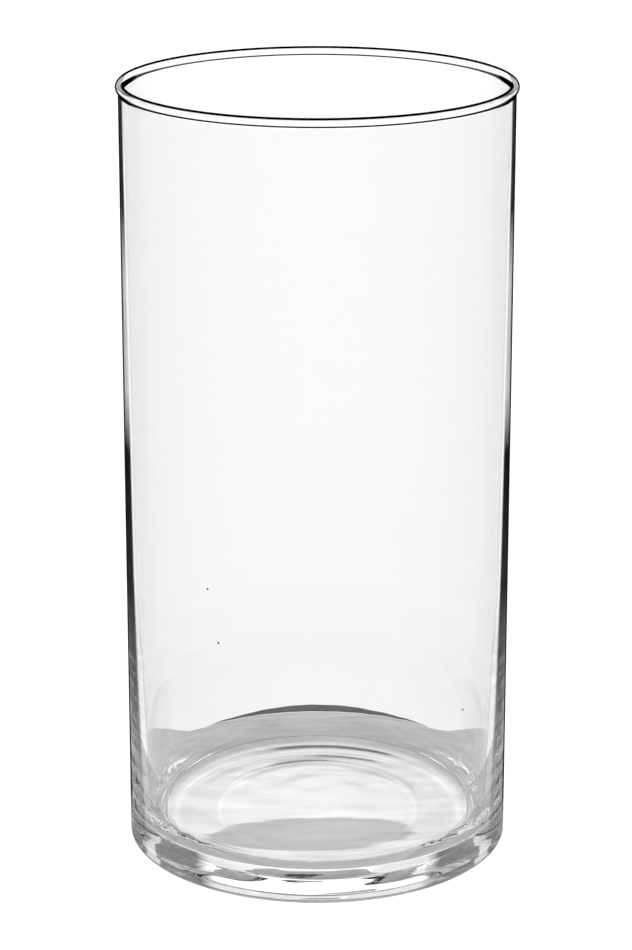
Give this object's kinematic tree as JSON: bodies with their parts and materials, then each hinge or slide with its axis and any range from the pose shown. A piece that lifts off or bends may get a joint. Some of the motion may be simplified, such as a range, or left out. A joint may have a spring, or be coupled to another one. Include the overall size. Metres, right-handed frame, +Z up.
{
  "type": "glass cylinder vase",
  "caption": "Clear glass cylinder vase with a straight thin wall, a rounded beaded rim and a thick clear foot hollowed underneath.",
  "frame": {"origin": "centre of the surface that the vase stands on, in the plane of its resting ring", "axes": "+Z up along the vase's axis, out of the mouth; X and Y are alike because the vase is round"},
  "size_m": [0.127, 0.127, 0.254],
  "materials": {
    "clear_glass": "fire-polished clear soda-lime glass"
  },
  "bodies": {
    "root": {"base": "clear_glass", "wall": "clear_glass", "rim_bead": "clear_glass"}
  },
  "joints": []
}
